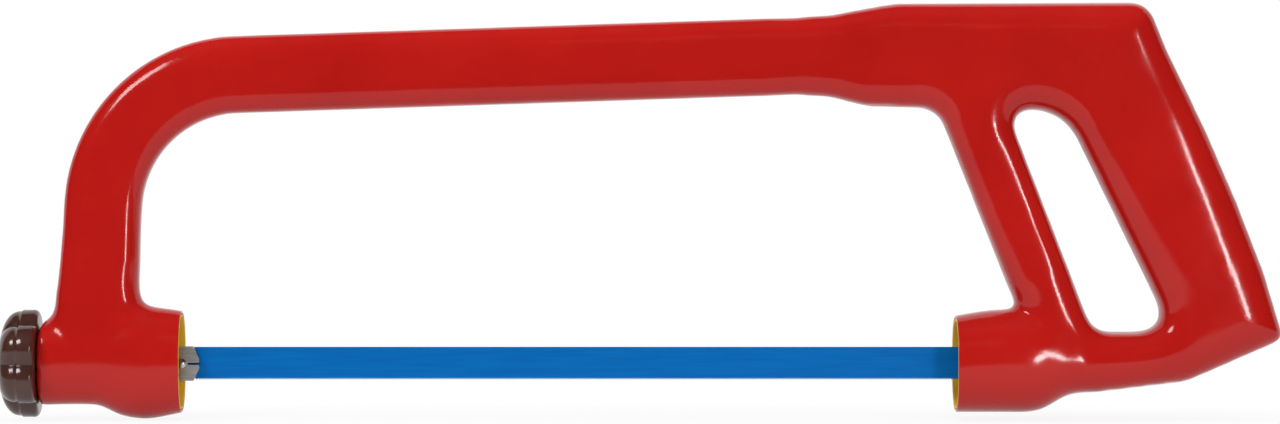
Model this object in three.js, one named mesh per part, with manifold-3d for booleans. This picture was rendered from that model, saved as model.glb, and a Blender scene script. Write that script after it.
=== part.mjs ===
// Insulated hacksaw: a bent tube frame and a D-handle under two dipped coats, with a tensioned blade.
// Millimetres, +Z up, +X from the star knob to the handle, teeth down.
import * as THREE from 'three';
import { mergeVertices } from 'three/addons/utils/BufferGeometryUtils.js';
import Module from 'manifold-3d';

const wasm = await Module();
wasm.setup();

// Blade
const HOLE_SPACING = 300;
const BLADE_WIDTH = 12.5;
const BLADE_THICK = 0.65;
const BLADE_TAIL = 7;
const TOOTH_PITCH = 25.4 / 24;
const TOOTH_DEPTH = 0.75;
const TOOTHLESS_END = 9;
const STUD_RADIUS = 1.5;
const STUD_REACH = 2.5;
const STUD_HEAD_RADIUS = 1.7;
const STUD_HEAD_HEIGHT = 1.3;

// Coats and clearances
const RED_WALL = 1.0;
const YELLOW_WALL = 0.8;
const LAYER_GAP = 0.3;
const FIT_GAP = 0.3;
const PIN_GAP = 0.2;

// Bow tube: a foot on the head, a leg that leans a little, one bend, and a bow that rises to the handle
const BOW_WIDTH = 29.4;
const BOW_THICK = 18;
const TUBE_WALL = 1.6;
const BEND_RADIUS = 52.2;
const BOW_RISE = THREE.MathUtils.degToRad(1.88);
const LEG_LEAN = THREE.MathUtils.degToRad(3.0);
const THROAT_AT_CORNER = 93.4;
const LEG_TO_STUD = 27.6;

// Front head, with its bell-shaped mouth
const HEAD_LENGTH = 52.8;
const NECK_HEIGHT = 31;
const NECK_DEPTH = 24;
const BELL_HEIGHT = 42.8;
const BELL_DEPTH = 27;
const MOUTH_HEIGHT = 40.4;
const MOUTH_DEPTH = 25;
const MOUTH_TO_STUD = 0.6;
const FRONT_CUP = 16;
const TENON_LENGTH = 30;

// Handle
const REAR_BOSS_HEIGHT = 36.9;
const REAR_BOSS_DEPTH = 33;
const REAR_BOSS_LENGTH = 28;
const REAR_MOUTH_TO_STUD = 6;
const STRUT_WIDTH = 22.8;
const STRUT_DEPTH = 21;
const STRUT_LEAN = THREE.MathUtils.degToRad(21.3);
const STRUT_TO_STUD = 37.6;
const BRIDGE_HEIGHT = 41;
const BRIDGE_DEPTH = 27;
const BRIDGE_REACH = 68.3;
const SOCKET_DEPTH = 29;
const SOCKET_WALL = 1.6;
const GRIP_WIDTH = 45.2;
const GRIP_DEPTH = 30;
const GRIP_LENGTH = 122.7;
const GRIP_LEAN = THREE.MathUtils.degToRad(23.2);
const GRIP_BULGE = 1.6;
const FINGER_HOLE_HEIGHT = 84;
const BASE_DEPTH = 27;
const BASE_HEIGHT = 21;

// Blade holders and tensioner
const AXIS_HEIGHT = 21.4;
const CHEEK_HEIGHT = 13;
const CHEEK_THICK = 3;
const CHEEK_PAST_STUD = 6.6;
const CHEEK_CHAMFER = 2.2;
const SLIT_LENGTH = 4.4;
const SLIT_WIDTH = 0.8;
const BAR_SIZE = 9;
const THREAD_RADIUS = 4;
const THREAD_PITCH = 1;
const LOOSENING_TURNS = 2;
const HOLDER_RADIUS = 5;
const HOLDER_SHANK = 24;
const WASHER_RADIUS = 9;
const CROSS_PIN_RADIUS = 2;
const HOLDER_PIN_RADIUS = 1.5;

// Star knob
const KNOB_RADIUS = 20.4;
const KNOB_LENGTH = 15.2;
const KNOB_LOBES = 6;
const KNOB_VALLEY = 3.4;
const KNOB_TO_HEAD = 0.8;
const KNOB_CROWN = 2.6;
const INSERT_RADIUS = 7;

// Mesh fineness
const SIDES = 16;
const ROUND = 20;

// Worked out from the sizes above
const TRAVEL = LOOSENING_TURNS * THREAD_PITCH;
const METAL_INSET = RED_WALL + LAYER_GAP + YELLOW_WALL + LAYER_GAP;
const YELLOW_INSET = RED_WALL + LAYER_GAP;
const LINING_INSET = YELLOW_INSET + YELLOW_WALL;
const FRONT_STUD_X = -HOLE_SPACING / 2;
const REAR_STUD_X = HOLE_SPACING / 2;
const MOUTH_X = FRONT_STUD_X - MOUTH_TO_STUD;
const HEAD_FACE_X = MOUTH_X - HEAD_LENGTH;
const METAL_FACE_X = HEAD_FACE_X + METAL_INSET;
const FRONT_CUP_FLOOR_X = MOUTH_X - FRONT_CUP;
const REAR_MOUTH_X = REAR_STUD_X - REAR_MOUTH_TO_STUD;
const TAIL_ROOM = BLADE_TAIL + TRAVEL + 2 * FIT_GAP;
const REAR_SHOULDER_X = REAR_STUD_X + TAIL_ROOM;
const REAR_CUP_FLOOR_X = REAR_SHOULDER_X + 2 + FIT_GAP;
const CORNER_X = FRONT_STUD_X - LEG_TO_STUD;
const CORNER_Z = AXIS_HEIGHT + THROAT_AT_CORNER + BOW_WIDTH / 2;
const CHEEK_FACE_Y = -BLADE_THICK / 2 - FIT_GAP;
const CHEEK_BACK_Y = CHEEK_FACE_Y - CHEEK_THICK;
const STUD_TIP_Y = BLADE_THICK / 2 + STUD_REACH;
const bowHeightAt = (x) => CORNER_Z + (x - CORNER_X) * Math.tan(BOW_RISE);
const BRIDGE_START_X = REAR_STUD_X - 56;
const CASTING_START_X = BRIDGE_START_X + 9;
const TUBE_END_X = CASTING_START_X + SOCKET_DEPTH;
const STRUT_AXIS_X = REAR_STUD_X + STRUT_TO_STUD;
const BRIDGE_TOP_Z = bowHeightAt(REAR_STUD_X) + BRIDGE_HEIGHT / 2 - 1.7;
const HOLE_TOP_Z = BRIDGE_TOP_Z - BRIDGE_HEIGHT;
const HOLE_FLOOR_Z = HOLE_TOP_Z - FINGER_HOLE_HEIGHT;
const BRIDGE_END_X = REAR_STUD_X + BRIDGE_REACH;

// Solids from geometry, and back
function solid(geometry) {
  const bare = geometry.clone();
  bare.deleteAttribute('normal');
  bare.deleteAttribute('uv');
  const welded = mergeVertices(bare, 1e-4);
  return new wasm.Manifold(new wasm.Mesh({
    numProp: 3,
    vertProperties: new Float32Array(welded.attributes.position.array),
    triVerts: new Uint32Array(welded.index.array),
  }));
}

function geometryOf(body) {
  const mesh = body.getMesh();
  const geometry = new THREE.BufferGeometry();
  geometry.setAttribute('position', new THREE.BufferAttribute(mesh.vertProperties, 3));
  geometry.setIndex(new THREE.BufferAttribute(mesh.triVerts, 1));
  geometry.computeVertexNormals();
  return geometry;
}

// Plain shapes
function block(x0, x1, y0, y1, z0, z1) {
  const box = new THREE.BoxGeometry(x1 - x0, y1 - y0, z1 - z0);
  box.translate((x0 + x1) / 2, (y0 + y1) / 2, (z0 + z1) / 2);
  return solid(box);
}

function rodAlongX(radius, x0, x1) {
  const rod = new THREE.CylinderGeometry(radius, radius, x1 - x0, ROUND);
  rod.rotateZ(Math.PI / 2);
  rod.translate((x0 + x1) / 2, 0, AXIS_HEIGHT);
  return solid(rod);
}

function rodAlongY(radius, x, z, y0, y1) {
  const rod = new THREE.CylinderGeometry(radius, radius, y1 - y0, ROUND);
  rod.translate(x, (y0 + y1) / 2, z);
  return solid(rod);
}

// A plate in the XZ plane, from its outline
function plate(shape, y0, y1) {
  const sheet = new THREE.ExtrudeGeometry(shape, { depth: y1 - y0, bevelEnabled: false, curveSegments: 6 });
  sheet.rotateX(Math.PI / 2);
  sheet.translate(0, y1, 0);
  return sheet;
}

// A closed skin over rings that have equal numbers of points, capped at both ends
function skin(rings) {
  const sides = rings[0].length;
  const points = rings.flat();
  const faces = [];
  for (let r = 0; r + 1 < rings.length; r += 1) {
    for (let k = 0; k < sides; k += 1) {
      const a = r * sides + k;
      const b = r * sides + (k + 1) % sides;
      faces.push(a, b, a + sides, b, b + sides, a + sides);
    }
  }
  for (const [ring, start, turn] of [[rings[0], 0, 1], [rings.at(-1), points.length - sides, 0]]) {
    const middle = new THREE.Vector3();
    ring.forEach((point) => middle.addScaledVector(point, 1 / sides));
    const hub = points.push(middle) - 1;
    for (let k = 0; k < sides; k += 1) {
      const next = start + (k + 1) % sides;
      faces.push(hub, turn ? next : start + k, turn ? start + k : next);
    }
  }
  let volume = 0;
  for (let f = 0; f < faces.length; f += 3) {
    volume += points[faces[f]].dot(points[faces[f + 1]].clone().cross(points[faces[f + 2]]));
  }
  if (volume < 0) faces.reverse();
  const geometry = new THREE.BufferGeometry().setFromPoints(points);
  geometry.setIndex(faces);
  return solid(geometry);
}

// One rounded section with a flat at each extreme: centre, direction of its width, half width and half depth
function sectionRing({ x, z, angle = Math.PI / 2, w, d }, inset, power) {
  const ring = [];
  const reach = (value) => Math.sign(value) * Math.abs(value / Math.cos(Math.PI / SIDES)) ** (2 / power);
  for (let k = 0; k < SIDES; k += 1) {
    const turn = (2 * Math.PI * (k + 0.5)) / SIDES;
    const u = reach(Math.cos(turn)) * (w - inset);
    const v = reach(Math.sin(turn)) * (d - inset);
    ring.push(new THREE.Vector3(x + u * Math.cos(angle), v, z + u * Math.sin(angle)));
  }
  return ring;
}

function loft(sections, inset, power) {
  return skin(sections.map((section) => sectionRing(section, inset, power)));
}

// A section that stands upright across X, from its lower and upper edge
function upright(x, low, high, depth) {
  return { x, z: (low + high) / 2, w: (high - low) / 2, d: depth / 2 };
}

// Members of the frame. Each takes an inset, so that coats and metal are the same shape, one inside the other.
function bow(inset, past = 0) {
  const turn = Math.PI / 2 - BOW_RISE + LEG_LEAN * -1;
  const reach = BEND_RADIUS * Math.tan(turn / 2);
  const size = { w: BOW_WIDTH / 2, d: BOW_THICK / 2 };
  const legAngle = Math.PI - LEG_LEAN;
  const down = new THREE.Vector2(-Math.sin(LEG_LEAN), -Math.cos(LEG_LEAN));
  const along = new THREE.Vector2(Math.cos(BOW_RISE), Math.sin(BOW_RISE));
  const corner = new THREE.Vector2(CORNER_X, CORNER_Z);
  const bendStart = corner.clone().addScaledVector(down, reach);
  const inward = new THREE.Vector2(Math.cos(LEG_LEAN), -Math.sin(LEG_LEAN));
  const centre = bendStart.clone().addScaledVector(inward, BEND_RADIUS);
  const footZ = AXIS_HEIGHT + 3 - past;
  const foot = corner.clone().addScaledVector(down, (CORNER_Z - footZ) / Math.cos(LEG_LEAN));
  const endX = TUBE_END_X + past;
  const sections = [{ x: foot.x, z: foot.y, angle: legAngle, ...size }];
  const steps = 9;
  for (let k = 0; k <= steps; k += 1) {
    const angle = legAngle - (turn * k) / steps;
    sections.push({
      x: centre.x + BEND_RADIUS * Math.cos(angle),
      z: centre.y + BEND_RADIUS * Math.sin(angle),
      angle,
      ...size,
    });
  }
  const end = corner.clone().addScaledVector(along, (endX - CORNER_X) / along.x);
  sections.push({ x: end.x, z: end.y, angle: legAngle - turn, ...size });
  return loft(sections, inset, 2.6);
}

function head(inset, past = 0, startX = HEAD_FACE_X + inset) {
  const ring = (x, height, depth) => upright(x, AXIS_HEIGHT - height / 2, AXIS_HEIGHT + height / 2, depth);
  const bellX = MOUTH_X - 13;
  const neckX = bellX - 18;
  const sections = [ring(startX, NECK_HEIGHT, NECK_DEPTH)];
  if (neckX > startX) sections.push(ring(neckX, NECK_HEIGHT + 1, NECK_DEPTH));
  sections.push(ring(bellX - 9, BELL_HEIGHT - 3.4, BELL_DEPTH - 1));
  sections.push(ring(bellX, BELL_HEIGHT, BELL_DEPTH));
  sections.push(ring(MOUTH_X, MOUTH_HEIGHT, MOUTH_DEPTH));
  if (past > 0) sections.push(ring(MOUTH_X + past, MOUTH_HEIGHT, MOUTH_DEPTH));
  return loft(sections, inset, 2.2);
}

function bridge(inset) {
  const low = bowHeightAt(BRIDGE_START_X) - BOW_WIDTH / 2;
  const high = bowHeightAt(BRIDGE_START_X) + BOW_WIDTH / 2;
  const socketThick = BOW_THICK + 2 * SOCKET_WALL;
  return loft([
    upright(BRIDGE_START_X, low - 0.2, high + 0.2, BOW_THICK + 0.4),
    upright(CASTING_START_X, low - SOCKET_WALL - 0.8, high + SOCKET_WALL + 0.6, socketThick + 1),
    upright(BRIDGE_START_X + 22, HOLE_TOP_Z + 1.1, BRIDGE_TOP_Z - 1.2, BRIDGE_DEPTH - 2),
    upright(BRIDGE_START_X + 38, HOLE_TOP_Z, BRIDGE_TOP_Z, BRIDGE_DEPTH),
    upright(BRIDGE_END_X - 20, HOLE_TOP_Z, BRIDGE_TOP_Z, BRIDGE_DEPTH),
    upright(BRIDGE_END_X - 7 - inset, HOLE_TOP_Z + 6, BRIDGE_TOP_Z - 2.4, BRIDGE_DEPTH - 1),
    upright(BRIDGE_END_X - inset, HOLE_TOP_Z + 14, BRIDGE_TOP_Z - 9, BRIDGE_DEPTH - 8),
  ], inset, 2.4);
}

function grip(inset) {
  const top = { x: BRIDGE_END_X - 16, z: BRIDGE_TOP_Z - 23.2 };
  const stretch = [[0, -4, -9], [0.09, -1, 0], [0.2, 0.3, 0], [0.42, 0, 0], [0.64, -1.2, 0], [0.86, -2.2, -2]];
  const end = [[0.965, -3, -3], [1, -10, -10]];
  const sections = [...stretch, ...end].map(([share, wider, deeper]) => {
    const pulled = share > 0.9 ? -inset : 0;
    const run = share * GRIP_LENGTH + (share === 0 ? inset : pulled);
    const bulge = GRIP_BULGE * Math.sin(Math.PI * share);
    return {
      x: top.x + run * Math.sin(GRIP_LEAN) + bulge * Math.cos(GRIP_LEAN),
      z: top.z - run * Math.cos(GRIP_LEAN) + bulge * Math.sin(GRIP_LEAN),
      angle: GRIP_LEAN,
      w: (GRIP_WIDTH + wider) / 2,
      d: (GRIP_DEPTH + deeper) / 2,
    };
  });
  return loft(sections, inset, 2.2);
}

function strut(inset) {
  const at = (z) => ({
    x: STRUT_AXIS_X - (z - AXIS_HEIGHT) * Math.tan(STRUT_LEAN),
    z,
    angle: STRUT_LEAN,
    w: STRUT_WIDTH / 2,
    d: STRUT_DEPTH / 2,
  });
  return loft([at(HOLE_FLOOR_Z - 6), at(HOLE_TOP_Z + 12)], inset, 2.3);
}

function base(inset, past = 0, startX = REAR_MOUTH_X - past) {
  const low = AXIS_HEIGHT - REAR_BOSS_HEIGHT / 2;
  const high = AXIS_HEIGHT + REAR_BOSS_HEIGHT / 2;
  const bossEnd = REAR_MOUTH_X + REAR_BOSS_LENGTH;
  const baseLow = HOLE_FLOOR_Z - BASE_HEIGHT;
  return loft([
    upright(startX, low, high, REAR_BOSS_DEPTH),
    upright(bossEnd, low, high, REAR_BOSS_DEPTH),
    upright(bossEnd + 6, low + 1.6, high - 3, REAR_BOSS_DEPTH - 1.5),
    upright(bossEnd + 12, low + 5.4, HOLE_FLOOR_Z + 1, BASE_DEPTH + 1.5),
    upright(bossEnd + 24, baseLow - 2, HOLE_FLOOR_Z, BASE_DEPTH),
    upright(BRIDGE_END_X + 6, baseLow, HOLE_FLOOR_Z, BASE_DEPTH),
    upright(BRIDGE_END_X + 16, baseLow + 6, HOLE_FLOOR_Z, BASE_DEPTH - 3),
    upright(BRIDGE_END_X + 24, baseLow + 11, HOLE_FLOOR_Z - 2, BASE_DEPTH - 13),
  ], inset, 2.2);
}

// The whole frame at one inset. The mouths run on by "past", to cut a hollow right through.
function frame(inset, past = 0) {
  return bow(inset).add(bridge(inset)).add(grip(inset)).add(strut(inset))
    .add(base(inset, past)).add(head(inset, past));
}

function coatOpening() {
  return rodAlongX(WASHER_RADIUS + FIT_GAP, HEAD_FACE_X - 5, METAL_FACE_X + LAYER_GAP);
}

// Coats
function redCoat() {
  return frame(0).subtract(frame(RED_WALL, 6)).subtract(coatOpening());
}

function yellowCoat() {
  return frame(YELLOW_INSET).subtract(frame(LINING_INSET, 6)).subtract(coatOpening());
}

// Cross pins and their holes
function legPoint(aboveAxis) {
  const z = AXIS_HEIGHT + aboveAxis;
  return { x: CORNER_X - (CORNER_Z - z) * Math.tan(LEG_LEAN), z, half: BOW_THICK / 2 - METAL_INSET - PIN_GAP };
}

function socketPoint(intoSocket) {
  const x = CASTING_START_X + intoSocket;
  return { x, z: bowHeightAt(x), half: BRIDGE_DEPTH / 2 - METAL_INSET - 1.6 };
}

const HEAD_PINS = [legPoint(NECK_HEIGHT / 2 + 8), legPoint(NECK_HEIGHT / 2 + 20)];
const SOCKET_PINS = [socketPoint(SOCKET_DEPTH * 0.4), socketPoint(SOCKET_DEPTH * 0.8)];
const HOLDER_PIN = { x: REAR_CUP_FLOOR_X + HOLDER_SHANK / 2, z: AXIS_HEIGHT, half: BASE_DEPTH / 2 - METAL_INSET - 0.6 };

function crossPin({ x, z, half }, radius) {
  return rodAlongY(radius, x, z, -half, half);
}

function pinHole({ x, z }, radius) {
  return rodAlongY(radius + PIN_GAP, x, z, -REAR_BOSS_DEPTH, REAR_BOSS_DEPTH);
}

function drilled(body, places, radius) {
  return places.reduce((part, place) => part.subtract(pinHole(place, radius)), body);
}

// Metal of the frame
function bowTube() {
  const tube = bow(METAL_INSET).subtract(bow(METAL_INSET + TUBE_WALL, 4)).subtract(head(METAL_INSET - FIT_GAP));
  return drilled(tube, [...HEAD_PINS, ...SOCKET_PINS], CROSS_PIN_RADIUS);
}

function frontHead() {
  const tenonTop = AXIS_HEIGHT + NECK_HEIGHT / 2 + TENON_LENGTH;
  const tenonBox = block(HEAD_FACE_X, MOUTH_X, -BOW_THICK, BOW_THICK, AXIS_HEIGHT, tenonTop);
  const tenon = bow(METAL_INSET + TUBE_WALL + FIT_GAP).intersect(tenonBox);
  const core = head(METAL_INSET).subtract(
    block(FRONT_CUP_FLOOR_X, MOUTH_X + 1, -BELL_DEPTH, BELL_DEPTH, -BELL_HEIGHT, 2 * BELL_HEIGHT),
  );
  const half = BAR_SIZE / 2 + FIT_GAP;
  const square = block(BAR_START_X - 1, MOUTH_X, -half, half, AXIS_HEIGHT - half, AXIS_HEIGHT + half);
  const bored = core.add(tenon).subtract(rodAlongX(THREAD_RADIUS + FIT_GAP, HEAD_FACE_X, MOUTH_X)).subtract(square);
  return drilled(bored, HEAD_PINS, CROSS_PIN_RADIUS);
}

function handleCasting() {
  const body = bridge(METAL_INSET).add(grip(METAL_INSET)).add(strut(METAL_INSET))
    .add(base(METAL_INSET, 0, REAR_CUP_FLOOR_X));
  const lip = block(BRIDGE_START_X - 10, CASTING_START_X, -40, 40, HOLE_TOP_Z - 10, BRIDGE_TOP_Z + 10);
  const socket = bow(METAL_INSET - FIT_GAP, FIT_GAP);
  const bore = rodAlongX(HOLDER_RADIUS + FIT_GAP, REAR_CUP_FLOOR_X - 5, REAR_CUP_FLOOR_X + HOLDER_SHANK + FIT_GAP);
  const bored = body.subtract(lip).subtract(socket).subtract(bore);
  return drilled(drilled(bored, SOCKET_PINS, CROSS_PIN_RADIUS), [HOLDER_PIN], HOLDER_PIN_RADIUS);
}

// Blade holders
const BAR_START_X = METAL_FACE_X + 10.5;
const BAR_SHOULDER_X = FRONT_STUD_X - BLADE_TAIL - 2 * FIT_GAP;

function cheek(rootX, endX, studX) {
  const toEnd = Math.sign(endX - rootX);
  const low = AXIS_HEIGHT - CHEEK_HEIGHT / 2;
  const high = AXIS_HEIGHT + CHEEK_HEIGHT / 2;
  const outline = new THREE.Shape([
    new THREE.Vector2(rootX, low),
    new THREE.Vector2(endX - toEnd * CHEEK_CHAMFER, low),
    new THREE.Vector2(endX, low + 2 * CHEEK_CHAMFER),
    new THREE.Vector2(endX, high - 2 * CHEEK_CHAMFER),
    new THREE.Vector2(endX - toEnd * CHEEK_CHAMFER, high),
    new THREE.Vector2(rootX, high),
  ]);
  const flat = solid(plate(outline, CHEEK_BACK_Y, CHEEK_FACE_Y));
  return flat.subtract(pinHole({ x: studX, z: AXIS_HEIGHT }, STUD_RADIUS));
}

function holderBlock(x0, x1) {
  const half = CHEEK_HEIGHT / 2;
  return block(x0, x1, CHEEK_BACK_Y, -CHEEK_BACK_Y, AXIS_HEIGHT - half, AXIS_HEIGHT + half);
}

function drawbar() {
  const half = BAR_SIZE / 2;
  const cheekEnd = FRONT_STUD_X + CHEEK_PAST_STUD;
  const shoulder = holderBlock(FRONT_CUP_FLOOR_X + FIT_GAP, BAR_SHOULDER_X);
  const bar = block(BAR_START_X, BAR_SHOULDER_X - 1, -half, half, AXIS_HEIGHT - half, AXIS_HEIGHT + half);
  const thread = rodAlongX(THREAD_RADIUS, THREAD_START_X, BAR_START_X + 1);
  const slitEdge = SLIT_WIDTH / 2;
  const slit = block(cheekEnd - SLIT_LENGTH, cheekEnd + 1, CHEEK_BACK_Y - 1, 1, AXIS_HEIGHT - slitEdge, AXIS_HEIGHT + slitEdge);
  return cheek(BAR_SHOULDER_X - 1, cheekEnd, FRONT_STUD_X).subtract(slit).add(shoulder).add(bar).add(thread);
}

function rearHolder() {
  const shoulder = holderBlock(REAR_SHOULDER_X, REAR_CUP_FLOOR_X - FIT_GAP);
  const shank = rodAlongX(HOLDER_RADIUS, REAR_CUP_FLOOR_X - 1, REAR_CUP_FLOOR_X + HOLDER_SHANK);
  const flat = cheek(REAR_SHOULDER_X + 1, REAR_MOUTH_X + 1, REAR_STUD_X);
  return drilled(flat.add(shoulder).add(shank), [HOLDER_PIN], HOLDER_PIN_RADIUS);
}

// A stud with a domed head on the outer face of its cheek
function stud(x) {
  const underHead = CHEEK_BACK_Y - PIN_GAP;
  const profile = [new THREE.Vector2(0, STUD_TIP_Y), new THREE.Vector2(STUD_RADIUS, STUD_TIP_Y)];
  profile.push(new THREE.Vector2(STUD_RADIUS, underHead));
  for (let k = 0; k <= 4; k += 1) {
    const angle = (Math.PI / 2) * (k / 4);
    const across = k === 4 ? 0 : (STUD_HEAD_RADIUS + PIN_GAP) * Math.cos(angle);
    profile.push(new THREE.Vector2(across, underHead - STUD_HEAD_HEIGHT * Math.sin(angle)));
  }
  const geometry = new THREE.LatheGeometry(profile.reverse(), ROUND);
  geometry.translate(x, 0, AXIS_HEIGHT);
  return solid(geometry);
}

// Blade, with its teeth raked toward the knob. The rear hole is a slot, so that the slack blade can shift.
function blade() {
  const top = AXIS_HEIGHT + BLADE_WIDTH / 2;
  const tip = AXIS_HEIGHT - BLADE_WIDTH / 2;
  const root = tip + TOOTH_DEPTH;
  const startX = FRONT_STUD_X - BLADE_TAIL;
  const endX = REAR_STUD_X + BLADE_TAIL;
  const teeth = Math.floor((endX - startX - 2 * TOOTHLESS_END) / TOOTH_PITCH);
  const outline = new THREE.Shape();
  outline.moveTo(startX, top);
  outline.lineTo(startX, root);
  for (let k = 0; k < teeth; k += 1) {
    const x = startX + TOOTHLESS_END + k * TOOTH_PITCH;
    outline.lineTo(x, root);
    outline.lineTo(x + 0.05, tip);
  }
  outline.lineTo(startX + TOOTHLESS_END + teeth * TOOTH_PITCH, root);
  outline.lineTo(endX, root);
  outline.lineTo(endX, top);
  outline.closePath();
  const radius = STUD_RADIUS + FIT_GAP;
  const round = new THREE.Path().absarc(FRONT_STUD_X, AXIS_HEIGHT, radius, 0, 2 * Math.PI);
  const slot = new THREE.Path();
  slot.absarc(REAR_STUD_X, AXIS_HEIGHT, radius, -Math.PI / 2, Math.PI / 2);
  slot.absarc(REAR_STUD_X - TRAVEL, AXIS_HEIGHT, radius, Math.PI / 2, 1.5 * Math.PI);
  slot.closePath();
  outline.holes.push(round, slot);
  return solid(plate(outline, -BLADE_THICK / 2, BLADE_THICK / 2));
}

// Star knob: lobed rings along X, a crowned front and a pocket for its insert
const KNOB_BACK_X = HEAD_FACE_X - KNOB_TO_HEAD;
const KNOB_FRONT_X = KNOB_BACK_X - KNOB_LENGTH;
const INSERT_START_X = KNOB_FRONT_X + KNOB_CROWN;
const THREAD_START_X = INSERT_START_X + FIT_GAP;

function lobedRing(x, radius, valley) {
  const ring = [];
  const count = KNOB_LOBES * 8;
  for (let k = 0; k < count; k += 1) {
    const angle = (2 * Math.PI * k) / count;
    const reach = radius - valley * (0.5 - 0.5 * Math.cos(KNOB_LOBES * angle)) ** 2;
    ring.push(new THREE.Vector3(x, reach * Math.sin(angle), AXIS_HEIGHT + reach * Math.cos(angle)));
  }
  return ring;
}

function knob() {
  const body = skin([
    lobedRing(KNOB_FRONT_X, KNOB_RADIUS * 0.55, 0.5),
    lobedRing(KNOB_FRONT_X + KNOB_LENGTH * 0.13, KNOB_RADIUS * 0.82, KNOB_VALLEY * 0.7),
    lobedRing(KNOB_FRONT_X + KNOB_LENGTH * 0.45, KNOB_RADIUS * 0.97, KNOB_VALLEY),
    lobedRing(KNOB_FRONT_X + KNOB_LENGTH * 0.62, KNOB_RADIUS, KNOB_VALLEY),
    lobedRing(KNOB_BACK_X - 1.2, KNOB_RADIUS * 0.97, KNOB_VALLEY),
    lobedRing(KNOB_BACK_X, KNOB_RADIUS * 0.9, KNOB_VALLEY),
  ]);
  return body.subtract(rodAlongX(INSERT_RADIUS + FIT_GAP, INSERT_START_X, KNOB_BACK_X + 1));
}

function knobInsert() {
  const sleeve = rodAlongX(INSERT_RADIUS, INSERT_START_X + FIT_GAP, KNOB_BACK_X - FIT_GAP);
  return sleeve.subtract(rodAlongX(THREAD_RADIUS + FIT_GAP, KNOB_FRONT_X, KNOB_BACK_X));
}

function thrustWasher() {
  const ring = rodAlongX(WASHER_RADIUS, KNOB_BACK_X + FIT_GAP, METAL_FACE_X - FIT_GAP);
  return ring.subtract(rodAlongX(THREAD_RADIUS + FIT_GAP, KNOB_BACK_X, METAL_FACE_X));
}

// Finishes
const finish = (color, roughness, metalness) => ({ color, roughness, metalness });
const RED = finish(0xb01818, 0.35, 0);
const YELLOW = finish(0xd8a010, 0.5, 0);
const BROWN = finish(0x3a2018, 0.3, 0);
const BLUE = finish(0x0a5aa0, 0.4, 0.3);
const STEEL = finish(0x9a9a9c, 0.35, 1);
const CAST = finish(0xb0b2b4, 0.55, 1);
const BRASS = finish(0xb08d45, 0.35, 1);

const saw = new THREE.Group();

function place(name, body, look) {
  const mesh = new THREE.Mesh(geometryOf(body), new THREE.MeshStandardMaterial(look));
  mesh.name = name;
  saw.add(mesh);
}

place('red_coat', redCoat(), RED);
place('yellow_coat', yellowCoat(), YELLOW);
place('bow_tube', bowTube(), STEEL);
place('front_head', frontHead(), STEEL);
place('handle_casting', handleCasting(), CAST);
['head_pin_lower', 'head_pin_upper'].forEach((name, k) => place(name, crossPin(HEAD_PINS[k], CROSS_PIN_RADIUS), STEEL));
['socket_pin_front', 'socket_pin_rear'].forEach((name, k) => place(name, crossPin(SOCKET_PINS[k], CROSS_PIN_RADIUS), STEEL));
place('rear_holder', rearHolder(), STEEL);
place('rear_holder_pin', crossPin(HOLDER_PIN, HOLDER_PIN_RADIUS), STEEL);
place('rear_stud', stud(REAR_STUD_X), STEEL);
place('drawbar', drawbar(), STEEL);
place('front_stud', stud(FRONT_STUD_X), STEEL);
place('blade', blade(), BLUE);
place('knob', knob(), BROWN);
place('knob_insert', knobInsert(), BRASS);
place('thrust_washer', thrustWasher(), STEEL);

// The origin lies at the middle of the underside of the whole saw
const extent = new THREE.Box3().setFromObject(saw);
const middle = extent.getCenter(new THREE.Vector3());
saw.position.set(-middle.x, -middle.y, -extent.min.z);

export default saw;
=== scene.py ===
# %% [markdown]
# # Dressing an insulated hacksaw
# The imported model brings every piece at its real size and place: the bent tube, the D-handle, the blade
# and its tensioner. This lesson gives them their looks. It loads that model as a fixed frame, in metres,
# with +X from the knob to the handle and +Z up, and then covers it piece by piece.

# %% Load the frame
import math

import bmesh
import bpy
import numpy as np
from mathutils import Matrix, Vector


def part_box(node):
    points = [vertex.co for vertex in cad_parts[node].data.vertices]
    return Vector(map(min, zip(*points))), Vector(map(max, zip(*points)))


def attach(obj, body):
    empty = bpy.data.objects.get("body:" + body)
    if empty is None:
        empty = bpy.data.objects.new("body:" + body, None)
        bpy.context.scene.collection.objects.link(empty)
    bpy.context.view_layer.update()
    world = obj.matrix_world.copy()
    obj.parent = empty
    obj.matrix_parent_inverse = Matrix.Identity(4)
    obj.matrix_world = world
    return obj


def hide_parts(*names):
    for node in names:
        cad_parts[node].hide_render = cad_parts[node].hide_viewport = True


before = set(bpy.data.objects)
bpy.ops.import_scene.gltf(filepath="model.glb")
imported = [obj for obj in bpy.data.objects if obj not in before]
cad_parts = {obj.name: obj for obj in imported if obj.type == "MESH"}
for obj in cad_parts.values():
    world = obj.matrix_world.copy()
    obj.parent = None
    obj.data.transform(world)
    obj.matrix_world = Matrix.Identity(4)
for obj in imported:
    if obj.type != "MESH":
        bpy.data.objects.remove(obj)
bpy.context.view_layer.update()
MM = 0.001

# %% [markdown]
# ## Where the blade runs
# Everything on a hacksaw lines up with the blade, so the two studs and the blade's mid-line give the
# reference points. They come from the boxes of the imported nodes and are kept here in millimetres.

# %% Reference points
def node_box_mm(node):
    low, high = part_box(node)
    return np.array(low) / MM, np.array(high) / MM


def node_middle_mm(node):
    low, high = node_box_mm(node)
    return (low + high) / 2


FRONT_STUD = node_middle_mm("front_stud")[0]
REAR_STUD = node_middle_mm("rear_stud")[0]
AXIS = node_middle_mm("front_stud")[2]
FRONT_MOUTH = FRONT_STUD - 0.6
REAR_MOUTH = REAR_STUD - 6.0
print("studs at", round(FRONT_STUD, 2), round(REAR_STUD, 2), "axis height", round(AXIS, 2))

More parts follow.
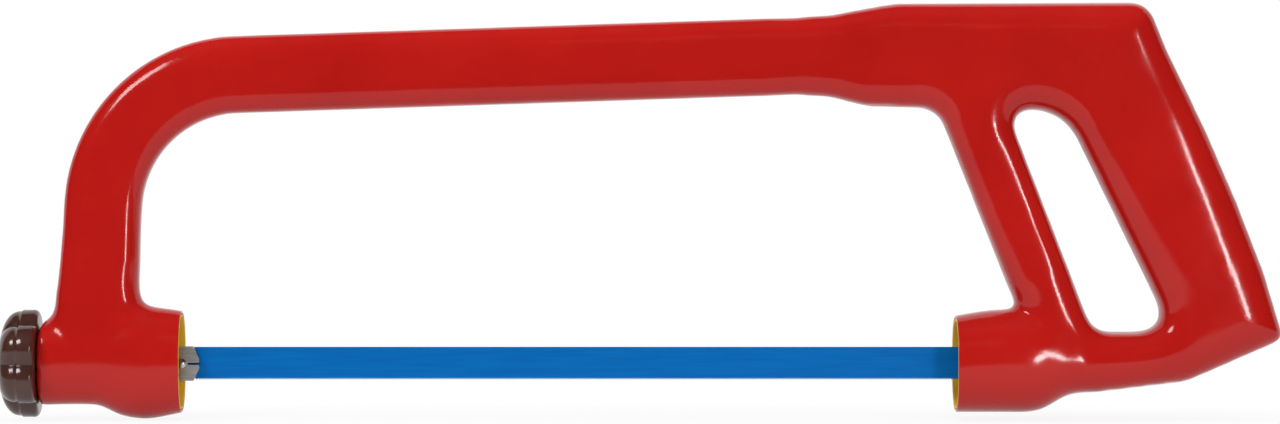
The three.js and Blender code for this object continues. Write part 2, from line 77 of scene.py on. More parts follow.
# %% [markdown]
# ## The camera
# The photograph looks straight at the side of the saw from about three frame-lengths away, level with
# the middle of the throat. The field of view is set from the width of the saw at that distance.

# %% Camera
VIEW_WIDTH = 486.4 * MM
VIEW_DISTANCE = 1.45
VIEW_CENTRE = (-0.75 * MM, 78.9 * MM)


def add_camera():
    lens = bpy.data.cameras.new("side_view")
    lens.sensor_width = 36
    lens.lens = 36 * VIEW_DISTANCE / VIEW_WIDTH
    camera = bpy.data.objects.new("side_view", lens)
    camera.location = (VIEW_CENTRE[0], -VIEW_DISTANCE, VIEW_CENTRE[1])
    camera.rotation_euler = (math.pi / 2, 0, 0)
    bpy.context.scene.collection.objects.link(camera)
    bpy.context.scene.camera = camera
    print("camera lens", round(lens.lens, 1), "mm")


add_camera()

# %% [markdown]
# ## Rounded members
# The frame is a family of rounded bars: the leg and bow, the handle's top, the grip, the strut and the
# two bosses. Each is a loft: a row of oval sections, given by two edge points in the side view and a
# depth across. A few sections are given, and a smooth curve through them fills in the rest.

# %% Loft helpers
SECTION_POINTS = 64


def smooth_rows(rows, per_span):
    """Points of a Catmull-Rom curve through the rows, with per_span steps between neighbours."""
    rows = np.array(rows, float)
    padded = np.vstack([2 * rows[0] - rows[1], rows, 2 * rows[-1] - rows[-2]])
    result = []
    for k in range(len(rows) - 1):
        p0, p1, p2, p3 = padded[k:k + 4]
        for step in range(per_span):
            t = step / per_span
            curve = 2 * p1 + (p2 - p0) * t + (2 * p0 - 5 * p1 + 4 * p2 - p3) * t ** 2
            result.append(0.5 * (curve + (3 * p1 - p0 - 3 * p2 + p3) * t ** 3))
    return np.array(result + [rows[-1]])


def oval_ring(row, power):
    """One section: the row holds the first edge point, the second edge point and the full depth."""
    first, second, depth = row[0:2], row[2:4], row[4]
    turn = np.linspace(0, 2 * math.pi, SECTION_POINTS, endpoint=False)
    u = np.sign(np.cos(turn)) * np.abs(np.cos(turn)) ** (2 / power)
    v = np.sign(np.sin(turn)) * np.abs(np.sin(turn)) ** (2 / power)
    middle = (first + second) / 2
    half = (first - second) / 2
    return np.column_stack([middle[0] + u * half[0], v * depth / 2, middle[1] + u * half[1]])


def closed_skin(name, rings):
    """A closed mesh over rings of equal counts, in millimetres, with a flat cap at each end."""
    count = len(rings[0])
    points = [tuple(point * MM) for ring in rings for point in ring]
    faces = [list(range(count))[::-1], [len(points) - count + k for k in range(count)]]
    for r in range(len(rings) - 1):
        for k in range(count):
            n = (k + 1) % count
            faces.append([r * count + k, r * count + n, (r + 1) * count + n, (r + 1) * count + k])
    mesh = bpy.data.meshes.new(name)
    mesh.from_pydata(points, [], faces)
    shaped = bmesh.new()
    shaped.from_mesh(mesh)
    bmesh.ops.recalc_face_normals(shaped, faces=shaped.faces)
    shaped.to_mesh(mesh)
    shaped.free()
    piece = bpy.data.objects.new(name, mesh)
    bpy.context.scene.collection.objects.link(piece)
    return piece


def lofted(name, rows, power, per_span=6):
    return closed_skin(name, [oval_ring(row, power) for row in smooth_rows(rows, per_span)])


def upright(x, low, high, depth):
    """A row for a section that stands upright across X."""
    return [x, high, x, low, depth]


# %% [markdown]
# ## The shape under the red coat
# The bow is one tube with one bend, so its rows come from a line, an arc and a line. The other members
# are rows measured on the side view: lower and upper edges for those that lie along X, and the
# handle follows in the next step.

# %% Members of the frame
BOW_WIDTH = 29.4
BOW_DEPTH = 18.0
BEND_RADIUS = 52.2
BOW_RISE = math.radians(1.88)
LEG_LEAN = math.radians(3.0)
CORNER = np.array([FRONT_STUD - 27.6, AXIS + 93.4 + BOW_WIDTH / 2])


def bow_rows():
    turn = math.pi / 2 - BOW_RISE - LEG_LEAN
    reach = BEND_RADIUS * math.tan(turn / 2)
    down = np.array([-math.sin(LEG_LEAN), -math.cos(LEG_LEAN)])
    along = np.array([math.cos(BOW_RISE), math.sin(BOW_RISE)])
    inward = np.array([math.cos(LEG_LEAN), -math.sin(LEG_LEAN)])
    centre = CORNER + down * reach + inward * BEND_RADIUS
    places = [(CORNER + down * run, math.pi - LEG_LEAN, wide) for run, wide in
              ((106, 5.5), (92, 4.0), (84, 2.6), (76, 1.3), (66, 0.5), (56, 0))]
    for k in range(13):
        angle = math.pi - LEG_LEAN - turn * k / 12
        places.append((centre + BEND_RADIUS * np.array([math.cos(angle), math.sin(angle)]), angle, 0))
    places += [(CORNER + along * run, math.pi - LEG_LEAN - turn, 0) for run in (80, 130, 180, 230, 290, 312)]
    rows = []
    for middle, angle, wide in places:
        across = np.array([math.cos(angle), math.sin(angle)]) * (BOW_WIDTH + wide) / 2
        rows.append([*(middle + across), *(middle - across), BOW_DEPTH + wide])
    return rows


def head_rows():
    low_high = [(-53.5, 5.9, 37.8, 24.2), (-51.4, 5.6, 38.2, 24.2), (-44, 5.8, 39, 24), (-33, 5.7, 39.8, 24.2),
                (-28.6, 4.5, 40.6, 24.6), (-25.4, 2.9, 41.6, 25.4), (-21.8, 1.5, 42.6, 26.2),
                (-17.8, 0.7, 43.2, 26.8), (-13.3, 0.3, 43.4, 27), (-8.8, 0.8, 43, 26.7), (-4.2, 1.7, 42.2, 26),
                (0, 2.6, 41.4, 25.2), (7, 4.0, 40.2, 24)]
    return [upright(FRONT_MOUTH + x, low, high, depth) for x, low, high, depth in low_high]


def base_rows():
    low_high = [(-7, 2.95, 38.6, 32), (0, 2.9, 39.6, 32.8), (8, 2.9, 41, 33), (17, 2.9, 42, 33), (26, 2.9, 42, 32),
                (31, 3.4, 41.4, 30.6), (35.4, 5.2, 40, 29), (39.6, 8, 37.6, 27.6), (46, 10.8, 33.6, 26),
                (53, 13, 28, 23), (59, 15, 25, 18)]
    return [upright(REAR_MOUTH + x, low, high, depth) for x, low, high, depth in low_high]


# %% [markdown]
# ## The handle as a pillow
# The handle is one casting with a slanted finger hole, and its coat is rounded evenly along every edge.
# So it is drawn as an outline with rounded corners and a hole, and each point's half thickness comes from
# its distance to the nearest edge: zero at the outline, rising steeply, and almost flat in the middle.

# %% Handle outline
def rounded_outline(corners):
    """A closed outline from corners of x, z and fillet radius, as points about 0.8 mm apart."""
    spots = [np.array(corner[:2], float) for corner in corners]
    outline = []
    for k, (x, z, radius) in enumerate(corners):
        here, before, after = spots[k], spots[k - 1], spots[(k + 1) % len(spots)]
        to_before = (before - here) / np.linalg.norm(before - here)
        to_after = (after - here) / np.linalg.norm(after - here)
        half = math.acos(np.clip(to_before @ to_after, -1, 1)) / 2
        reach = radius / math.tan(half)
        start, stop = here + to_before * reach, here + to_after * reach
        steps = max(2, int(radius * (math.pi - 2 * half) / 0.8))
        for t in np.linspace(0, 1, steps):
            outline.append((1 - t) ** 2 * start + 2 * t * (1 - t) * here * ARC_PULL + t ** 2 * stop
                           + 2 * t * (1 - t) * (1 - ARC_PULL) * (start + stop) / 2)
    return np.array(outline)


ARC_PULL = 0.93
R = REAR_STUD
OUTER = [(R - 66, 153.4, 2), (R - 54, 153.8, 14), (R - 30, 158.1, 22), (R + 66.5, 158.7, 10), (R + 73.4, 141.5, 9),
         (R + 88.5, 110, 40), (R + 100, 83.4, 60), (R + 110.6, 56, 60), (R + 118.2, 30.6, 4.6), (R + 81, 14.4, 16),
         (R + 46, 10.2, 12), (R + 22, 9, 4), (R + 19, 38, 1), (R + 16.9, 42, 3), (R - 13.4, 118.2, 11),
         (R - 40, 119, 18), (R - 54, 122.4, 14), (R - 66, 123, 2)]
HOLE = [(R + 13.2, 117.7, 7), (R + 34.5, 117.7, 20), (R + 75.6, 33.6, 9), (R + 45.8, 33.6, 9)]
THICKNESS = [(R - 66, 138, 8.3, 12), (R - 52, 138, 9, 13), (R - 28, 138, 11.8, 15), (R + 20, 138, 12.6, 16),
             (R + 62, 140, 13, 17), (R + 82, 105, 14.4, 19), (R + 96, 65, 14.4, 19), (R + 104, 35, 13.4, 15),
             (R + 60, 22, 12.8, 12.5), (R + 25, 50, 12, 11.5), (R + 12, 85, 10.8, 11.2)]
EDGE_POWER = 2.6


def edge_distance(points, outline):
    """Signed distance of points to a closed outline, positive inside, and the nearest outline point."""
    best = np.full(len(points), 1e9)
    nearest = np.zeros_like(points)
    inside = np.zeros(len(points), bool)
    for a, b in zip(outline, np.roll(outline, -1, axis=0)):
        side = b - a
        t = np.clip((points - a) @ side / (side @ side + 1e-12), 0, 1)[:, None]
        spot = a + t * side
        away = np.hypot(*(points - spot).T)
        closer = away < best
        best[closer] = away[closer]
        nearest[closer] = spot[closer]
        if a[1] != b[1]:
            crossing = (a[1] > points[:, 1]) != (b[1] > points[:, 1])
            inside ^= crossing & (points[:, 0] < a[0] + (points[:, 1] - a[1]) * side[0] / side[1])
    return np.where(inside, best, -best), nearest


def thickness_at(points):
    """Half thickness and edge reach, blended from the nearest rows of the table."""
    weights = []
    for x, z, _, _ in THICKNESS:
        weights.append(np.exp(-((points[:, 0] - x) ** 2 + (points[:, 1] - z) ** 2) / (2 * 17.0 ** 2)) + 1e-9)
    weights = np.array(weights) / np.sum(weights, axis=0)
    return np.array([row[2] for row in THICKNESS]) @ weights, np.array([row[3] for row in THICKNESS]) @ weights


def make_handle_pillow(step=0.9):
    outer, hole = rounded_outline(OUTER), rounded_outline(HOLE)
    low, high = outer.min(0) - step, outer.max(0) + step
    nx, nz = (np.ceil((high - low) / step)).astype(int) + 1
    gx, gz = np.meshgrid(low[0] + step * np.arange(nx), low[1] + step * np.arange(nz), indexing="ij")
    points = np.column_stack([gx.ravel(), gz.ravel()])
    from_outer, near_outer = edge_distance(points, outer)
    from_hole, near_hole = edge_distance(points, hole)
    depth = np.minimum(from_outer, -from_hole)
    nearest = np.where((from_outer < -from_hole)[:, None], near_outer, near_hole)
    on_edge = depth < 0.35 * step
    close = depth > -0.75 * step
    points = np.where((on_edge & close)[:, None], nearest, points)
    half, reach = thickness_at(points)
    share = np.clip(np.where(on_edge, 0, depth) / reach, 0, 1)
    height = half * (1 - (1 - share) ** EDGE_POWER) ** (1 / EDGE_POWER)
    index = np.arange(nx * nz).reshape(nx, nz)
    cells = np.stack([index[:-1, :-1], index[1:, :-1], index[1:, 1:], index[:-1, 1:]], -1).reshape(-1, 4)
    cells = cells[close[cells].all(1) & ~on_edge[cells].all(1)]
    count = len(points)
    front = np.column_stack([points[:, 0], -height, points[:, 1]])
    back = np.column_stack([points[:, 0], height, points[:, 1]])
    mesh = bpy.data.meshes.new("handle")
    faces = np.vstack([cells, cells[:, ::-1] + count])
    mesh.from_pydata((np.vstack([front, back]) * MM).tolist(), [], faces.tolist())
    shape = bmesh.new()
    shape.from_mesh(mesh)
    bmesh.ops.delete(shape, geom=[v for v in shape.verts if not v.link_faces], context="VERTS")
    bmesh.ops.remove_doubles(shape, verts=shape.verts, dist=0.02 * MM)
    bmesh.ops.recalc_face_normals(shape, faces=shape.faces)
    open_edges = sum(edge.is_boundary for edge in shape.edges)
    shape.to_mesh(mesh)
    shape.free()
    piece = bpy.data.objects.new("handle", mesh)
    bpy.context.scene.collection.objects.link(piece)
    print("handle pillow:", len(mesh.polygons), "faces,", open_edges, "open edges")
    return piece


# %% [markdown]
# ## One skin over all members
# A dip coat flows over every corner and leaves it filleted. The lofts are joined and remeshed into one
# skin of small even faces, and then each point is drawn toward its neighbours' middle: gently all over,
# and strongly near the inside corners, where the real coat has run together.

# %% Join, remesh and fillet
SKIN_STEP = 1.0 * MM
FILLETS = [
    ((FRONT_STUD - 17, 45), 15, 60), ((FRONT_STUD - 51, 40), 9, 40), ((FRONT_STUD - 33, 41), 15, 40),
    ((REAR_STUD + 16, 43), 9, 30), ((REAR_STUD + 30, 40), 16, 60), ((REAR_STUD + 33, 10), 15, 40),
    ((REAR_STUD - 62, 138), 22, 50),
]


def join_and_remesh(name, members, step):
    joined = bmesh.new()
    for member in members:
        joined.from_mesh(member.data)
        bpy.data.objects.remove(member)
    mesh = bpy.data.meshes.new(name)
    joined.to_mesh(mesh)
    joined.free()
    piece = bpy.data.objects.new(name, mesh)
    bpy.context.scene.collection.objects.link(piece)
    remesh = piece.modifiers.new("one_skin", "REMESH")
    remesh.mode = "VOXEL"
    remesh.voxel_size = step
    remesh.use_smooth_shade = True
    shape = piece.evaluated_get(bpy.context.evaluated_depsgraph_get())
    piece.data = bpy.data.meshes.new_from_object(shape)
    piece.modifiers.clear()
    return piece


def mesh_points(mesh):
    points = np.empty(len(mesh.vertices) * 3)
    mesh.vertices.foreach_get("co", points)
    return points.reshape(-1, 3)


def relax(mesh, weight, passes):
    """Draws each point toward the middle of its neighbours, by its weight."""
    points = mesh_points(mesh)
    pairs = np.empty(len(mesh.edges) * 2, int)
    mesh.edges.foreach_get("vertices", pairs)
    pairs = pairs.reshape(-1, 2)
    count = np.bincount(pairs.ravel(), minlength=len(points))[:, None]
    for _ in range(passes):
        total = np.zeros_like(points)
        for axis in range(3):
            total[:, axis] += np.bincount(pairs[:, 0], points[pairs[:, 1], axis], len(points))
            total[:, axis] += np.bincount(pairs[:, 1], points[pairs[:, 0], axis], len(points))
        points += weight[:, None] * 0.5 * (total / count - points)
    mesh.vertices.foreach_set("co", points.ravel())
    mesh.update()


def fillet_corners(mesh):
    relax(mesh, np.ones(len(mesh.vertices)), 5)
    for (x, z), reach, passes in FILLETS:
        points = mesh_points(mesh) / MM
        away = np.hypot(points[:, 0] - x, points[:, 2] - z) / reach
        weight = np.clip(1.6 * (1 - away), 0, 1)
        relax(mesh, weight, passes)


def make_coat_form():
    members = [lofted("bow", bow_rows(), 3.0, 3), lofted("head", head_rows(), 2.3),
               lofted("boss", base_rows(), 2.3), make_handle_pillow()]
    form = join_and_remesh("red_coat_skin", members, SKIN_STEP)
    fillet_corners(form.data)
    print("coat form:", len(form.data.vertices), "points")
    return form


coat = make_coat_form()

# %% [markdown]
# ## The two mouths
# At each end the coat runs past the metal as a hollow skirt, so that no finger can reach the blade's
# steel holder. The skin is cut off square at the mouth, and its rim is drawn round a soft lip and back
# into the cup. Under it lies the yellow warning layer, which shows as a thin line at the lip and as the
# lining of the cup. The same function opens both layers.

# %% Open the mouths
RED_LIP = [(0.2, 0.1), (0.35, 0.4), (0.25, 0.8), (-0.1, 1.0), (-2.5, 1.05), (-9, 1.05)]
YELLOW_LIP = [(0.25, 0.1), (0.4, 0.4), (0.3, 0.7), (0, 0.8), (-4, 0.85), (-9, 0.85), (-15, 0.85)]
MOUTHS = [(FRONT_MOUTH, 1, 48), (REAR_MOUTH, -1, 43)]


def near_mouth(shape, x, out, below):
    """Everything of the boss near one mouth, so that the cut leaves the rest of the frame alone."""
    points = [v for v in shape.verts if v.co.z < below * MM and (v.co.x / MM - x) * out > -20
              and abs(v.co.x / MM - x) < 24]
    edges = {edge for point in points for edge in point.link_edges}
    faces = {face for point in points for face in point.link_faces}
    return points + list(edges) + list(faces)


def open_mouth(shape, x, out, below, lip):
    bmesh.ops.bisect_plane(shape, geom=near_mouth(shape, x, out, below), plane_co=(x * MM, 0, 0),
                           plane_no=(out, 0, 0), clear_outer=True)
    rim = [e for e in shape.edges if e.is_boundary and abs(e.verts[0].co.x - x * MM) < 1e-5]
    rim_points = {point for edge in rim for point in edge.verts}
    middle = sum((point.co for point in rim_points), Vector()) / len(rim_points)
    start = {}
    for ahead, inset in lip:
        grown = bmesh.ops.extrude_edge_only(shape, edges=rim)["geom"]
        points = [item for item in grown if isinstance(item, bmesh.types.BMVert)]
        rim = [item for item in grown if isinstance(item, bmesh.types.BMEdge)]
        for point in points:
            neighbours = [edge.other_vert(point) for edge in point.link_edges]
            source = next(neighbour for neighbour in neighbours if neighbour not in points)
            origin = start.get(source, source.co.copy())
            start[point] = origin
            spoke = origin - middle
            spoke.x = 0
            place = origin - spoke.normalized() * inset * MM
            place.x = (x + out * ahead) * MM
            point.co = place


def open_knob_face(shape, radius, depth):
    """Opens the head's front face around the drawbar's shank and the thrust washer."""
    face_x = min(point.co.x for point in shape.verts)
    inside = [v for v in shape.verts if v.co.x < face_x + 1.5 * MM
              and math.hypot(v.co.y, v.co.z - AXIS * MM) < radius * MM]
    bmesh.ops.delete(shape, geom=inside, context="VERTS")
    rim = [edge for edge in shape.edges if edge.is_boundary and edge.verts[0].co.x < face_x + 3 * MM]
    for point in {point for edge in rim for point in edge.verts}:
        spoke = Vector((0, point.co.y, point.co.z - AXIS * MM)).normalized() * radius * MM
        point.co = (face_x, spoke.y, spoke.z + AXIS * MM)
    grown = bmesh.ops.extrude_edge_only(shape, edges=rim)["geom"]
    for point in grown:
        if isinstance(point, bmesh.types.BMVert):
            point.co.x += depth * MM


def finish_layer(piece, lip):
    shape = bmesh.new()
    shape.from_mesh(piece.data)
    open_knob_face(shape, 9.6, 1.2)
    for x, out, below in MOUTHS:
        open_mouth(shape, x, out, below, lip)
    bmesh.ops.recalc_face_normals(shape, faces=shape.faces)
    for face in shape.faces:
        face.smooth = True
    shape.to_mesh(piece.data)
    shape.free()
    print(piece.name, "has", len(piece.data.polygons), "faces")


def shrunken_copy(piece, name, step, inset):
    copy = bpy.data.objects.new(name, piece.data.copy())
    bpy.context.scene.collection.objects.link(copy)
    copy = join_and_remesh(name, [copy], step)
    relax(copy.data, np.ones(len(copy.data.vertices)), 3)
    normals = np.empty(len(copy.data.vertices) * 3)
    copy.data.vertices.foreach_get("normal", normals)
    points = mesh_points(copy.data) - normals.reshape(-1, 3) * inset * MM
    copy.data.vertices.foreach_set("co", points.ravel())
    copy.data.update()
    return copy


lining = shrunken_copy(coat, "yellow_under_coat", 1.8 * MM, 1.15)
finish_layer(coat, RED_LIP)
finish_layer(lining, YELLOW_LIP)
for piece, node in ((coat, "red_coat"), (lining, "yellow_coat")):
    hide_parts(node)
    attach(piece, "frame")

# %% [markdown]
# ## The star knob
# The knob is a glossy moulding of six round lobes. Each lobe is an arc of a circle set off the axis, so
# two lobes meet in a narrow valley. Along the axis it has a domed nose, a faint ridge where the mould
# parts, a straight rim and a small rounding at the back.

# %% Knob
KNOB_LOW, KNOB_HIGH = node_box_mm("knob")
KNOB_REACH = (KNOB_HIGH[2] - KNOB_LOW[2]) / 2
LOBES = 6
LOBE_RADIUS = 9.4
LOBE_OFFSET = KNOB_REACH - LOBE_RADIUS


def lobed_reach(angle):
    """Distance from the axis to the rim of the star at one angle, 1 at the tip of a lobe."""
    part = math.pi / LOBES
    off = (angle + part) % (2 * part) - part
    reach = LOBE_OFFSET * math.cos(off) + math.sqrt(LOBE_RADIUS ** 2 - (LOBE_OFFSET * math.sin(off)) ** 2)
    return reach / KNOB_REACH


def knob_profile():
    """Rows of distance from the nose, radius, and how deep the valleys are, from 0 to 1."""
    length = KNOB_HIGH[0] - KNOB_LOW[0]
    nose = []
    for k in range(1, 17):
        angle = math.pi / 2 * k / 16
        radius = (KNOB_REACH - 0.5) * math.sin(angle) ** 0.77
        valley = min(1, 0.1 + 1.2 * (radius / KNOB_REACH) ** 2.5)
        nose.append((8.8 * (1 - math.cos(angle) ** 0.77), radius, valley))
    ridge = [(8.9, KNOB_REACH - 0.15, 1), (9.15, KNOB_REACH, 1), (11.5, KNOB_REACH - 0.05, 1)]
    back = [(length - 1.9 + 1.9 * math.sin(a), KNOB_REACH - 2.2 * (1 - math.cos(a)), 1)
            for a in np.linspace(0, math.pi / 2, 7)]
    hub = [(length, KNOB_REACH * 0.6, 0.6), (length, 7.6, 0)]
    return [(0.0, 0.3, 0)] + nose + ridge + back + hub


def make_knob():
    rings = []
    turns = np.linspace(0, 2 * math.pi, LOBES * 40, endpoint=False)
    for along, radius, valley in knob_profile():
        reach = np.array([radius * (1 - valley * (1 - lobed_reach(turn))) for turn in turns])
        x = np.full(len(turns), KNOB_LOW[0] + along)
        rings.append(np.column_stack([x, reach * np.sin(turns), AXIS + reach * np.cos(turns)]))
    piece = closed_skin("star_knob", rings)
    for face in piece.data.polygons:
        face.use_smooth = len(face.vertices) == 4
    print("knob reach", round(KNOB_REACH, 2), "mm,", len(rings), "rings")
    return piece


knob = make_knob()
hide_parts("knob")
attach(knob, "knob")

# %% [markdown]
# ## Steel with broken edges
# Machined steel never has a knife edge: every corner is broken, and that narrow facet catches the light.
# The drawbar, the rear holder and the studs have the right shapes already, so each gets a copy whose
# edges are bevelled by a few tenths of a millimetre.

# %% Bevelled steel pieces
def bevelled_copy(node, name, body, width, segments=3, angle=25):
    piece = bpy.data.objects.new(name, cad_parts[node].data.copy())
    bpy.context.scene.collection.objects.link(piece)
    shape = bmesh.new()
    shape.from_mesh(piece.data)
    bmesh.ops.remove_doubles(shape, verts=shape.verts, dist=1e-6)
    bmesh.ops.dissolve_limit(shape, angle_limit=math.radians(1), verts=shape.verts, edges=shape.edges)
    shape.to_mesh(piece.data)
    shape.free()
    bevel = piece.modifiers.new("broken_edges", "BEVEL")
    bevel.width = width * MM
    bevel.segments = segments
    bevel.limit_method = "ANGLE"
    bevel.angle_limit = math.radians(angle)
    piece.data.shade_smooth()
    weighted = piece.modifiers.new("even_shading", "WEIGHTED_NORMAL")
    weighted.keep_sharp = True
    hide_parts(node)
    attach(piece, body)
    return piece


drawbar = bevelled_copy("drawbar", "slotted_drawbar", "drawbar", 0.3)
front_stud = bevelled_copy("front_stud", "riveted_front_stud", "drawbar", 0.12)
rear_holder = bevelled_copy("rear_holder", "fixed_rear_holder", "frame", 0.3)
rear_stud = bevelled_copy("rear_stud", "riveted_rear_stud", "frame", 0.12)
print("bevelled pieces:", 4)

# %% [markdown]
# ## Building a finish from nodes
# A finish is a Principled shader whose colour, roughness and bump come from noise laid out in object
# coordinates, so it needs no image and no unwrapping. These helpers add one node each: a noise, a ramp
# between two values, and a bump from a height.

# %% Node helpers
def new_finish(name):
    material = bpy.data.materials.new(name)
    material.use_nodes = True
    shader = material.node_tree.nodes["Principled BSDF"]
    return material, shader


def add_node(material, kind, **values):
    node = material.node_tree.nodes.new(kind)
    for key, value in values.items():
        setattr(node, key, value)
    return node


def link(material, source, target):
    material.node_tree.links.new(source, target)


def add_noise(material, scale, detail=4.0, stretch=(1, 1, 1), roughness=0.5):
    """Noise whose features are about 1 / scale metres across, drawn out along an axis by a small stretch."""
    where = add_node(material, "ShaderNodeTexCoord")
    mapping = add_node(material, "ShaderNodeMapping")
    mapping.inputs["Scale"].default_value = stretch
    noise = add_node(material, "ShaderNodeTexNoise")
    noise.inputs["Scale"].default_value = scale
    noise.inputs["Detail"].default_value = detail
    noise.inputs["Roughness"].default_value = roughness
    link(material, where.outputs["Object"], mapping.inputs["Vector"])
    link(material, mapping.outputs["Vector"], noise.inputs["Vector"])
    return noise.outputs["Fac"]


def ramp(material, factor, low, high, first, second):
    """Maps a factor between low and high to two colours (or greys)."""
    node = add_node(material, "ShaderNodeValToRGB")
    node.color_ramp.elements[0].position = low
    node.color_ramp.elements[1].position = high
    node.color_ramp.elements[0].color = (*first, 1) if len(first) == 3 else first
    node.color_ramp.elements[1].color = (*second, 1) if len(second) == 3 else second
    link(material, factor, node.inputs["Fac"])
    return node.outputs["Color"]


def grey(value):
    return (value, value, value)


def add_bump(material, height, strength, distance, under=None):
    bump = add_node(material, "ShaderNodeBump")
    bump.inputs["Strength"].default_value = strength
    bump.inputs["Distance"].default_value = distance
    link(material, height, bump.inputs["Height"])
    if under is not None:
        link(material, under, bump.inputs["Normal"])
    return bump.outputs["Normal"]


# %% [markdown]
# ## Dipped plastic
# The red coat is thick soft plastic that set from a liquid. It is glossy, but its surface keeps a fine
# orange peel and long slow waves, which break up every highlight. The yellow layer under it is duller.

# %% Coating finishes
def coating(name, deep, bright, gloss, rough):
    material, shader = new_finish(name)
    tone = add_noise(material, 22, 5)
    link(material, ramp(material, tone, 0.3, 0.7, deep, bright), shader.inputs["Base Color"])
    smear = add_noise(material, 130, 3)
    link(material, ramp(material, smear, 0.35, 0.7, grey(gloss), grey(rough)), shader.inputs["Roughness"])
    peel = add_bump(material, add_noise(material, 620, 2), 0.16, 0.0001)
    waves = add_bump(material, add_noise(material, 45, 2), 0.2, 0.0006, peel)
    link(material, waves, shader.inputs["Normal"])
    shader.inputs["Specular IOR Level"].default_value = 0.32
    return material


coat.data.materials.append(coating("red_dip_coat", (0.42, 0.0085, 0.0065), (0.49, 0.0115, 0.0085), 0.1, 0.15))
lining.data.materials.append(coating("yellow_dip_coat", (0.78, 0.44, 0.012), (0.86, 0.51, 0.018), 0.4, 0.5))
print("coatings:", coat.data.materials[0].name, lining.data.materials[0].name)

# %% [markdown]
# ## Knob moulding, enamel and metals
# The knob is dark brown thermoset with a polished skin and faint flow marks. The blade has a blue enamel
# with fine streaks along it. The steel is brushed along its length, and the casting under the
# coats keeps its sand-dull grain.

# %% Other finishes
def knob_moulding():
    material, shader = new_finish("brown_thermoset")
    flow = add_noise(material, 120, 6, (0.4, 1, 1))
    brown = ramp(material, flow, 0.3, 0.75, (0.050, 0.018, 0.013), (0.074, 0.028, 0.020))
    polish = ramp(material, add_noise(material, 300, 3), 0.3, 0.7, grey(0.12), grey(0.2))
    link(material, brown, shader.inputs["Base Color"])
    link(material, polish, shader.inputs["Roughness"])
    link(material, add_bump(material, add_noise(material, 240, 3), 0.15, 0.00015), shader.inputs["Normal"])
    return material


def blade_enamel():
    material, shader = new_finish("blue_enamel")
    streak = add_noise(material, 900, 4, (0.05, 1, 1))
    blue = ramp(material, streak, 0.3, 0.7, (0.0002, 0.112, 0.38), (0.0006, 0.138, 0.45))
    satin = ramp(material, add_noise(material, 500, 3), 0.3, 0.7, grey(0.4), grey(0.5))
    link(material, blue, shader.inputs["Base Color"])
    link(material, satin, shader.inputs["Roughness"])
    shader.inputs["Specular IOR Level"].default_value = 0.08
    link(material, add_bump(material, streak, 0.1, 0.00005), shader.inputs["Normal"])
    return material


def brushed_metal(name, dark, light, rough, stretch):
    material, shader = new_finish(name)
    shader.inputs["Metallic"].default_value = 1.0
    brush = add_noise(material, 1500, 4, stretch)
    link(material, ramp(material, brush, 0.3, 0.7, dark, light), shader.inputs["Base Color"])
    patch = add_noise(material, 260, 4)
    link(material, ramp(material, patch, 0.3, 0.7, grey(rough), grey(rough + 0.14)), shader.inputs["Roughness"])
    link(material, add_bump(material, brush, 0.25, 0.00004), shader.inputs["Normal"])
    return material


STEEL = brushed_metal("machined_steel", (0.42, 0.41, 0.40), (0.60, 0.59, 0.58), 0.3, (0.08, 1, 1))
CASTING = brushed_metal("cast_metal", (0.42, 0.42, 0.43), (0.56, 0.56, 0.57), 0.45, (1, 1, 1))
BRASS = brushed_metal("turned_brass", (0.42, 0.28, 0.10), (0.56, 0.39, 0.16), 0.28, (1, 0.1, 0.1))


def give(piece, material):
    piece.data.materials.clear()
    piece.data.materials.append(material)


def give_node(node, material):
    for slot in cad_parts[node].material_slots:
        slot.material = material


give(knob, knob_moulding())
for piece in (drawbar, front_stud, rear_holder, rear_stud):
    give(piece, STEEL)
give_node("blade", blade_enamel())
give_node("handle_casting", CASTING)
give_node("knob_insert", BRASS)
for node in ("bow_tube", "front_head", "thrust_washer", "head_pin_lower", "head_pin_upper", "socket_pin_front",
             "socket_pin_rear", "rear_holder_pin"):
    give_node(node, STEEL)
print("finishes:", len(bpy.data.materials))

# %% [markdown]
# ## Floor, background and studio light
# The saw stands on a pale sweep in a white studio. The floor is white to the camera but keeps a part of
# its shading, so the shadow stays. On the camera's side hang dark cloths, which only reflections see:
# without them the red gloss would turn pink all over. The large softboxes only give light, and the two
# small ones at the sides draw the highlights.

# %% Studio
def plane(name, corners):
    mesh = bpy.data.meshes.new(name)
    mesh.from_pydata(corners, [], [[0, 1, 2, 3]])
    sheet = bpy.data.objects.new(name, mesh)
    bpy.context.scene.collection.objects.link(sheet)
    return sheet


def seen_factor(tree):
    """1 for rays from the camera, from gloss and through glass, and 0 for the rays that carry light."""
    path = tree.nodes.new("ShaderNodeLightPath")
    first = tree.nodes.new("ShaderNodeMath")
    first.operation = "MAXIMUM"
    second = tree.nodes.new("ShaderNodeMath")
    second.operation = "MAXIMUM"
    tree.links.new(path.outputs["Is Camera Ray"], first.inputs[0])
    tree.links.new(path.outputs["Is Glossy Ray"], first.inputs[1])
    tree.links.new(first.outputs[0], second.inputs[0])
    tree.links.new(path.outputs["Is Transmission Ray"], second.inputs[1])
    return second.outputs[0]


